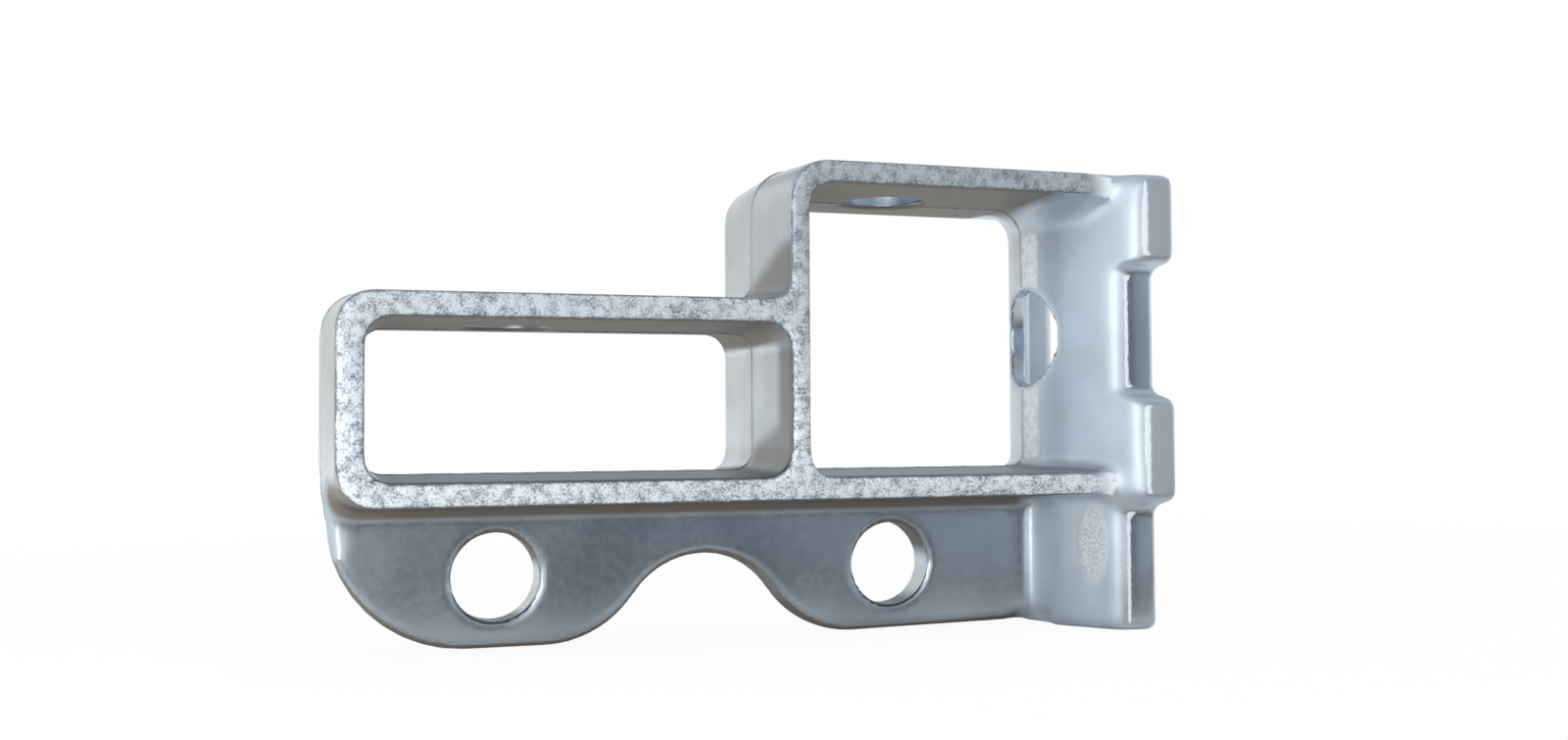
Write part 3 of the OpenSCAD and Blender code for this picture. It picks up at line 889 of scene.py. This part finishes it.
    def corner_shade_mask(self, points: np.ndarray, normals: np.ndarray) -> np.ndarray:
        """Finds where shade and dark reflection are painted on the wall between the cells, on the front
        half of its arm side.

        The painted patches lie above the low roof and above the floor, where they rise towards the front by
        roof_rise and floor_rise, and in the low cell beside the front rim.

        Args:
            points: the skin's points.
            normals: their normals.

        Returns:
            1 where the shade and dark reflection are painted.
        """
        x, front, z = points[:, 0], -points[:, 1], points[:, 2]
        wall = (normals[:, 0] < self.corner_shade_lean) * within(x, self.corner_shade_x)
        above_roof = smooth_step(z - self.roof_rise * front, *self.roof_shade_z)
        above_roof = above_roof * smooth_step(z, *self.roof_shade_top_z) * (z > self.roof_middle_z)
        above_floor = smooth_step(z - self.floor_rise * front, *self.floor_shade_z)
        above_floor = above_floor * (z < self.roof_middle_z)
        beside_rim = smooth_step(front, *self.rim_shade_front) * smooth_step(z, *self.rim_shade_z)
        beside_rim = beside_rim * (z > self.lowest_shade_z)
        corner_shaded = np.maximum(above_roof, np.maximum(above_floor, beside_rim))
        return wall * corner_shaded * smooth_step(front, *self.corner_shade_front)

    def mark(self, skin: bpy.types.Mesh, edges: np.ndarray) -> None:
        """Writes the masks that the finish follows, one value for each point.

        Each mask is spread over its border by a few rounds of settling, so that it falls smoothly.

        Args:
            skin: the worked skin, which gets the masks.
            edges: pairs of neighbouring points.
        """
        points, normals = read_points(skin), read_normals(skin)
        rim = self.rim_mask(points, normals)
        cut, edge, scuff = self.seat_masks(points, normals)
        corner_shade = self.corner_shade_mask(points, normals)
        masks = {"rim": rim, "cut": cut, "edge": edge, "scuff": scuff, "corner_shade": corner_shade}
        free = np.ones(len(points))
        for name, value in masks.items():
            threefold = np.repeat(value[:, None], 3, axis=1)
            spread = settle(threefold, edges, free, self.spread_rounds[name])[:, 0]
            layer = skin.attributes.new(name, "FLOAT", "POINT")
            layer.data.foreach_set("value", spread)

    def build(self, finish: BareCasting) -> bpy.types.Object:
        """Builds the casting and puts it in its CAD node's place.

        Args:
            finish: the casting's finish.

        Returns:
            The finished object.
        """
        mesh = self.even_skin()
        self.mark(mesh, self.work_skin(mesh))
        mesh.name = "bracket_casting_skin"
        mesh.shade_smooth()
        mesh.materials.clear()
        mesh.materials.append(finish.material())
        piece = show("casting", mesh)
        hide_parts(NODE)
        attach(piece, BODY)
        self.made = piece
        count = sum(len(face.vertices) - 2 for face in mesh.polygons)
        log.info("casting: %d faces, %d triangles", len(mesh.polygons), count)
        return piece


@dataclass
class PartingFlash:
    """The trimmed flash round the casting's middle plane.

    Each of its waves is a share of its size, and how far along X and along Z a sine goes on by one
    radian.
    """

    half_width: float = 0.3
    height: float = 0.24
    sides: int = 8
    room: float = 1.5
    usual_size: float = 0.84
    waves: tuple[Triple, ...] = ((0.1, 1.7, 2.3), (0.06, 0.61, -0.77))
    above_flange_z: Band = (-39.0, -36.5)
    smallest: float = 0.001
    merge_within: float = 0.001

    def cut(self, mesh: bpy.types.Mesh) -> tuple[np.ndarray, np.ndarray, np.ndarray]:
        """Cuts a closed triangle mesh with the plane y = 0.

        Each crossed edge gives one point, placed where y passes 0 between its ends. Each crossed
        triangle joins two of them, from the edge that goes down through the plane to the one that
        comes up, so that all pieces of the line run the same way round.

        Args:
            mesh: the casting's mesh.

        Returns:
            Points, their outward directions in the plane, and pairs of joined points.
        """
        points, normals = read_points(mesh), read_normals(mesh)
        mesh.calc_loop_triangles()
        flat = np.empty(len(mesh.loop_triangles) * 3, dtype=np.int64)
        mesh.loop_triangles.foreach_get("vertices", flat)
        start = flat.reshape(-1, 3)
        end = np.roll(start, -1, axis=1)
        above = points[:, 1] > 0
        down = above[start] & ~above[end]
        rise = ~above[start] & above[end]
        rows = np.nonzero(down.any(axis=1))[0]
        ends = [
            np.sort(np.stack([start[rows, side], end[rows, side]], axis=1), axis=1)
            for side in (down[rows].argmax(axis=1), rise[rows].argmax(axis=1))
        ]
        pairs, index = np.unique(np.concatenate(ends), axis=0, return_inverse=True)
        index = index.ravel()
        low, high = points[pairs[:, 0]], points[pairs[:, 1]]
        share = (low[:, 1] / (low[:, 1] - high[:, 1]))[:, None]
        line = low + share * (high - low)
        outward = normals[pairs[:, 0]] * (1 - share) + normals[pairs[:, 1]] * share
        outward[:, 1] = 0
        outward /= np.linalg.norm(outward, axis=1)[:, None]
        joined = np.stack([index[: len(rows)], index[len(rows) :]], axis=1)
        return line, outward, joined

    def size_at(self, line: np.ndarray, holes: tuple[Hole, ...]) -> np.ndarray:
        """Says how tall the flash stands at each point, from 0 to 1.

        It is ground away at the holes and on the flange, and its height wanders along the line by
        the sum of its waves.

        Args:
            line: the flash's middle.
            holes: the casting's holes.

        Returns:
            The share of its full width and height at each point.
        """
        x, z = line[:, 0], line[:, 2]
        size = np.full(len(line), self.usual_size)
        for share, along_x, along_z in self.waves:
            size = size + share * np.sin(x / along_x + z / along_z)
        for hole in holes:
            size = size * hole.clear(line, self.room)
        return size * smooth_step(z, *self.above_flange_z)

    def rod(
        self, line: np.ndarray, outward: np.ndarray, joined: np.ndarray, size: np.ndarray
    ) -> bpy.types.Mesh:
        """Builds an oval rod whose middle runs on the casting's skin.

        A ring point at angle a stands half_width * cos(a) along Y and height * sin(a) outwards from
        the line, both times the flash's size there. Rings of size 0 close the rod's ends.

        Args:
            line: the rod's middle.
            outward: the direction away from the metal at each of its points.
            joined: pairs of joined points.
            size: the flash's size at each point.

        Returns:
            The rod's mesh, with its doubles merged and its faces outwards.
        """
        kept = joined[(size[joined] > self.smallest).any(axis=1)]
        angle = np.linspace(0, 2 * math.pi, self.sides, endpoint=False)
        aside = np.array([0.0, 1.0, 0.0])
        rings = line[:, None] + size[:, None, None] * (
            self.half_width * np.cos(angle)[None, :, None] * aside
            + self.height * np.sin(angle)[None, :, None] * outward[:, None]
        )
        side = np.arange(self.sides)
        after = (side + 1) % self.sides
        base, top = kept[:, :1] * self.sides, kept[:, 1:] * self.sides
        faces = np.stack([base + side, base + after, top + after, top + side], axis=2).reshape(-1, 4)
        points = keep_in_box(rings.reshape(-1, 3))
        mesh = bpy.data.meshes.new("parting_flash")
        mesh.from_pydata((points * MM).tolist(), [], faces.tolist())
        work = bmesh.new()
        work.from_mesh(mesh)
        bmesh.ops.remove_doubles(work, verts=work.verts, dist=self.merge_within * MM)
        loose = [vertex for vertex in work.verts if not vertex.link_faces]
        bmesh.ops.delete(work, geom=loose, context="VERTS")
        bmesh.ops.recalc_face_normals(work, faces=work.faces)
        work.to_mesh(mesh)
        work.free()
        return mesh

    def build(self, casting: Casting, finish: TrimmedFlash) -> bpy.types.Object:
        """Builds the flash on a finished casting.

        Args:
            casting: the casting, already built.
            finish: the flash's finish.

        Returns:
            The finished object.
        """
        line, outward, joined = self.cut(casting.made.data)
        mesh = self.rod(line, outward, joined, self.size_at(line, casting.holes))
        mesh.shade_smooth()
        mesh.materials.append(finish.material())
        piece = show("parting_flash", mesh)
        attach(piece, BODY)
        log.info("parting flash: %d faces", len(mesh.polygons))
        return piece


@dataclass(frozen=True)
class StudioWall:
    """One side of the room as the metal mirrors it: full within end of toward, gone beyond start."""

    toward: Triple
    start_deg: float
    end_deg: float
    colour: str

    def share(self, tree: Tree, way: Socket) -> Socket:
        """Adds how much of this side is seen in a direction.

        Args:
            tree: the world's tree.
            way: the direction.

        Returns:
            0 where the side isn't seen and 1 where nothing else is.
        """
        toward = tuple(Vector(self.toward).normalized())
        along = add(tree, Kind.ALONG, way, toward)
        start, end = (math.cos(math.radians(angle)) for angle in (self.start_deg, self.end_deg))
        return add(tree, Kind.RAMP, along, start, end)


@dataclass(frozen=True)
class SoftLamp:
    """One soft lamp: its place and its sides in metres, its power in watts and its colour.

    The metal mirrors it only where mirrored is set.
    """

    name: str
    place: Triple
    width: float
    height: float
    watts: float
    colour: str
    mirrored: bool = False

    def hang(self, aim: Triple) -> None:
        """Hangs the lamp.

        Args:
            aim: the point that it faces, in metres.
        """
        data = bpy.data.lights.new(self.name, "AREA")
        data.shape = "RECTANGLE"
        data.size, data.size_y = self.width, self.height
        data.energy = self.watts
        data.color = linear(self.colour)[:3]
        made = show(self.name, data)
        place = Vector(self.place)
        turn = (Vector(aim) - place).to_track_quat("-Z", "Y").to_matrix().to_4x4()
        made.matrix_world = Matrix.Translation(place) @ turn
        made.visible_glossy = self.mirrored


@dataclass
class Studio:
    """Pale floor, white background, soft lamps and the photograph's camera.

    The paper floor ends a little in front of the casting, and the metal mirrors a dim room past it.
    Near the casting the metal sees the paper as darker than the camera does, as it would under
    lamps that light the casting more than the paper. To the camera the paper shows plain white,
    with a share of the lit paper near the casting, which keeps its shadow. middle is the point
    that the lamps face, in metres.
    """

    eye_mm: Triple = (-179.15, -333.7, -20.35)
    yaw_deg: float = 19.45
    pitch_deg: float = 2.058
    roll_deg: float = -0.326
    lens_mm: float = 37.377
    sensor_mm: float = 36.0
    clip_start: float = 0.01

    paper_front_mm: float = -116.0
    paper_side_mm: float = 12000.0
    paper_fibre: Triple = (3.0, 3.0, 0.5)
    paper: tuple[str, str] = ("#EDECEA", "#F3F2F0")
    paper_in_metal: tuple[str, str] = ("#5E5D5B", "#F0EFEC")
    paper_lit_y: Band = (-100.0, 10.0)
    paper_lit_x: Band = (-150.0, -280.0)
    plain_away_mm: Band = (200.0, 700.0)
    plain_share: Band = (0.94, 1.0)
    mirrored_away_mm: Band = (250.0, 600.0)

    room: str = "#868D94"
    walls: tuple[StudioWall, ...] = (
        StudioWall((0, 0, 1), 80, 30, "#B9BFC4"),
        StudioWall((0, 0, -1), 80, 40, "#6E6A63"),
        StudioWall((-1, -0.05, 0.05), 65, 35, "#F0F7FC"),
        StudioWall((0.0, -1.0, 0.05), 32, 6, "#6C7177"),
        StudioWall((0.87, -0.5, -0.05), 42, 26, "#A8AFB6"),
        StudioWall((-0.53, -0.85, 0.0), 42, 20, "#FFFFFF"),
        StudioWall((-0.4, 0.9, 0.05), 38, 20, "#E6E1DA"),
        StudioWall((1, 0.25, 0), 48, 20, "#FFFFFF"),
    )
    backdrop: StudioWall = StudioWall((0.33, 0.94, 0.0), 30, 18, "#FFFFFF")
    middle: Triple = (-0.07, 0, -0.01)
    lamps: tuple[SoftLamp, ...] = (
        SoftLamp("key", (-0.36, -0.22, -0.03), 0.22, 0.22, 0.84, "#FFFFFF"),
        SoftLamp("strip", (-0.52, -0.56, 0.0), 0.22, 0.44, 0.58, "#F4F9FF", mirrored=True),
        SoftLamp("side", (0.7, -0.5, 0.3), 0.5, 0.5, 2.2, "#F4F8FF"),
        SoftLamp("top", (-0.1, 0.1, 0.9), 0.6, 0.6, 3, "#FFFFFF"),
    )

    def camera(self) -> None:
        """Makes the camera from its solved place and angles."""
        yaw, pitch, roll = (math.radians(a) for a in (self.yaw_deg, self.pitch_deg, self.roll_deg))
        ahead = Vector((math.sin(yaw) * math.cos(pitch), math.cos(yaw) * math.cos(pitch), math.sin(pitch)))
        level = Vector((math.cos(yaw), -math.sin(yaw), 0))
        upright = level.cross(ahead)
        right = math.cos(roll) * level + math.sin(roll) * upright
        up = math.cos(roll) * upright - math.sin(roll) * level
        data = bpy.data.cameras.new("photo_camera")
        data.lens = self.lens_mm
        data.sensor_fit = "HORIZONTAL"
        data.sensor_width = self.sensor_mm
        data.clip_start = self.clip_start
        made = show("photo_camera", data)
        turn = Matrix((right, up, -ahead)).transposed().to_4x4()
        made.matrix_world = Matrix.Translation(Vector(self.eye_mm) * MM) @ turn
        bpy.context.scene.camera = made

    def shown(self, tree: Tree) -> tuple[Socket, Socket]:
        """Adds which rays see the white ground.

        Args:
            tree: the world's or the floor's tree.

        Returns:
            1 for the camera's rays and those through glass, and 1 for those that the metal mirrors.
        """
        rays = add(tree, Kind.RAYS).node.outputs
        straight = add(tree, Kind.LARGER, rays["Is Camera Ray"], rays["Is Transmission Ray"])
        return straight, rays["Is Glossy Ray"]

    def world(self) -> None:
        """Makes the room: white where the camera looks past the bracket, and its own sides in the metal."""
        made = bpy.data.worlds.new("studio")
        tree = empty_tree(made)
        way = add(tree, Kind.DIRECTION)
        seen = self.room
        for wall in self.walls:
            seen = add(tree, Kind.MIXED_COLOUR, wall.share(tree, way), seen, wall.colour)
        straight, glossy = self.shown(tree)
        mirrored = add(tree, Kind.TIMES, glossy, self.backdrop.share(tree, way))
        clear = add(tree, Kind.LARGER, straight, mirrored)
        colour = add(tree, Kind.MIXED_COLOUR, clear, seen, self.backdrop.colour)
        add(tree, Kind.WORLD_END, add(tree, Kind.SKY, colour, 1.0))
        bpy.context.scene.world = made

    def paper_material(self) -> bpy.types.Material:
        """Builds the floor's pale matt paper, faintly mottled by its fibre.

        It shows white away from the casting, to the camera and in the metal, and its shadow stays.

        Returns:
            The floor's material.
        """
        made = bpy.data.materials.new("pale_paper_floor")
        tree = empty_tree(made)
        place = add(tree, Kind.PLACE)
        size, detail, rough = self.paper_fibre
        fibre = add(tree, Kind.NOISE, place, per_metre(size), detail, rough)
        tone = add(tree, Kind.MIXED_COLOUR, fibre, *self.paper)
        straight, glossy = self.shown(tree)
        x, y, _ = add(tree, Kind.PARTS, place).node.outputs
        behind = add(tree, Kind.RAMP, y, *metres(self.paper_lit_y))
        lit = add(tree, Kind.LARGER, behind, add(tree, Kind.RAMP, x, *metres(self.paper_lit_x)))
        in_metal = add(tree, Kind.MIXED_COLOUR, lit, *self.paper_in_metal)
        paper = add(tree, Kind.PAPER, add(tree, Kind.MIXED_COLOUR, glossy, tone, in_metal))
        white = add(tree, Kind.WHITE_LIGHT, 1.0)
        away = add(tree, Kind.LENGTH, place)
        plain = add(tree, Kind.RAMP, away, *metres(self.plain_away_mm), *self.plain_share)
        mirrored = add(tree, Kind.TIMES, glossy, add(tree, Kind.RAMP, away, *metres(self.mirrored_away_mm)))
        share = add(tree, Kind.TIMES, plain, add(tree, Kind.LARGER, straight, mirrored))
        add(tree, Kind.MATERIAL_END, add(tree, Kind.MIXED_SHADER, share, paper, white))
        return made

    def floor(self) -> None:
        """Lays the paper floor at the casting's foot."""
        low = cad_box[0][2]
        side, front = self.paper_side_mm * MM, self.paper_front_mm * MM
        mesh = bpy.data.meshes.new("floor")
        corners = [(-side, front, low), (side, front, low), (side, side, low), (-side, side, low)]
        mesh.from_pydata(corners, [], [(0, 1, 2, 3)])
        mesh.materials.append(self.paper_material())
        show("floor", mesh)

    def build(self) -> None:
        """Sets up the whole studio."""
        self.camera()
        self.world()
        self.floor()
        for lamp in self.lamps:
            lamp.hang(self.middle)
        bpy.context.scene.view_settings.view_transform = "Standard"


def main() -> None:
    """Builds the casting, its flash and the studio, and reports each."""
    logging.basicConfig(level=logging.INFO, format="%(name)s: %(message)s")
    casting = Casting()
    casting.build(BareCasting())
    PartingFlash().build(casting, TrimmedFlash())
    Studio().build()
    log.info("studio: camera, room, floor and lamps")


if __name__ == "__main__":
    main()
